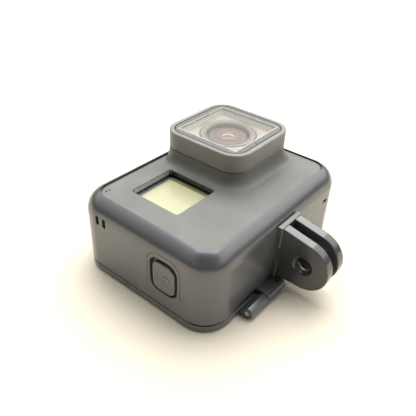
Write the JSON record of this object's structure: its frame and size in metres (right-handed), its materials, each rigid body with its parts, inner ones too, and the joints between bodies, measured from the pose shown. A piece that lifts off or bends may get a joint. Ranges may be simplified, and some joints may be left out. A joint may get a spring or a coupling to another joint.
{
  "type": "action camera",
  "caption": "Compact action camera in a hinged mounting frame with mount fingers, press pads, a twist-off square lens cover and a latched rear bezel.",
  "frame": {"origin": "middle of the footprint, on the plane that the rear bezel rests on", "axes": "+Z along the lens axis, out of the front; +Y towards the shutter side; -Y towards the mount fingers; +X towards the side door"},
  "size_m": [0.0666, 0.0696, 0.0346],
  "materials": {
    "frame_plastic": "fine satin moulded plastic",
    "finger_plastic": "smooth glossy moulded plastic",
    "soft_touch": "rubberised soft-touch front, faint warm grey",
    "lens_block_plastic": "satin moulded plastic",
    "dark_plastic": "satin black",
    "clear_glass": "polished cover glass",
    "lens_glass": "coated lens glass",
    "display_film": "pale yellow-green reflective display",
    "steel": "turned stainless steel",
    "light_alloy": "machined light alloy",
    "seal_rubber": "soft silicone rubber",
    "circuit_board": "green circuit board",
    "battery_wrap": "printed film wrap without print",
    "chip_package": "moulded chip package"
  },
  "bodies": {
    "camera_in_frame": {"frame_shell": "frame_plastic", "mount_fingers": "finger_plastic", "front_housing": "soft_touch", "rear_housing": "dark_plastic", "lens_holder": "dark_plastic", "battery_bay": "dark_plastic", "battery_door": "dark_plastic", "display_panel": "dark_plastic", "lens_retaining_ring": "dark_plastic", "touch_glass": "clear_glass", "status_window": "clear_glass", "lens_front_element": "lens_glass", "lens_middle_group": "lens_glass", "lens_rear_group": "lens_glass", "infrared_filter": "lens_glass", "status_display": "display_film", "hinge_pin": "steel", "side_door_pin": "steel", "mode_switch": "steel", "shutter_switch": "steel", "usb_socket": "steel", "video_socket": "steel", "chassis_screw_1": "steel", "chassis_screw_2": "steel", "chassis_screw_3": "steel", "chassis_screw_4": "steel", "lens_barrel": "light_alloy", "heat_spreader": "light_alloy", "inner_chassis": "light_alloy", "front_microphone": "light_alloy", "housing_seal": "seal_rubber", "battery_door_seal": "seal_rubber", "sensor_board": "circuit_board", "main_board": "circuit_board", "battery": "battery_wrap", "image_sensor": "chip_package", "processor": "chip_package", "speaker": "chip_package"},
    "rear_bezel_body": {"rear_bezel": "frame_plastic", "latch_pin": "steel"},
    "latch": {"latch_lever": "frame_plastic"},
    "mode_pad_body": {"mode_pad": "frame_plastic"},
    "mode_button_body": {"mode_button": "dark_plastic"},
    "shutter_pad_body": {"shutter_pad": "frame_plastic"},
    "shutter_button_body": {"shutter_button": "dark_plastic"},
    "side_door_body": {"side_door": "dark_plastic", "side_door_seal": "seal_rubber"},
    "lens_cover": {"lens_cover_ring": "lens_block_plastic", "lens_cover_glass": "clear_glass", "lens_cover_gasket": "seal_rubber", "lens_mask": "dark_plastic"}
  },
  "joints": [
    {"name": "rear_bezel_hinge", "type": "hinge", "parent": "camera_in_frame", "child": "rear_bezel_body", "pos_m": [-0.0115, -0.0208, 0.002], "axis": [-1, 0, 0], "range_deg": [0, 110]},
    {"name": "latch_lever_hinge", "type": "hinge", "parent": "rear_bezel_body", "child": "latch", "pos_m": [-0.0156, 0.0331, 0.0015], "axis": [-1, 0, 0], "range_deg": [0, 75]},
    {"name": "mode_pad_press", "type": "slide", "parent": "camera_in_frame", "child": "mode_pad_body", "axis": [1, 0, 0], "range_m": [0, 0.0004], "stiffness_N_per_m": 2000},
    {"name": "mode_button_slide", "type": "slide", "parent": "camera_in_frame", "child": "mode_button_body", "axis": [1, 0, 0], "range_m": [0, 0.0004]},
    {"name": "shutter_pad_press", "type": "slide", "parent": "camera_in_frame", "child": "shutter_pad_body", "axis": [0, -1, 0], "range_m": [0, 0.0004], "stiffness_N_per_m": 2000},
    {"name": "shutter_button_slide", "type": "slide", "parent": "camera_in_frame", "child": "shutter_button_body", "axis": [0, -1, 0], "range_m": [0, 0.0004]},
    {"name": "side_door_hinge", "type": "hinge", "parent": "camera_in_frame", "child": "side_door_body", "pos_m": [0.0302, -0.0006, 0.014], "axis": [0, 0, -1], "range_deg": [0, 90]},
    {"name": "lens_cover_twist", "type": "hinge", "parent": "camera_in_frame", "child": "lens_cover", "pos_m": [0.01275, 0.013, 0.029], "axis": [0, 0, 1], "range_deg": [0, 20]}
  ],
  "couplings": [
    {"joint": "mode_button_slide", "follows": "mode_pad_press", "ratio": 1},
    {"joint": "shutter_button_slide", "follows": "shutter_pad_press", "ratio": 1}
  ]
}
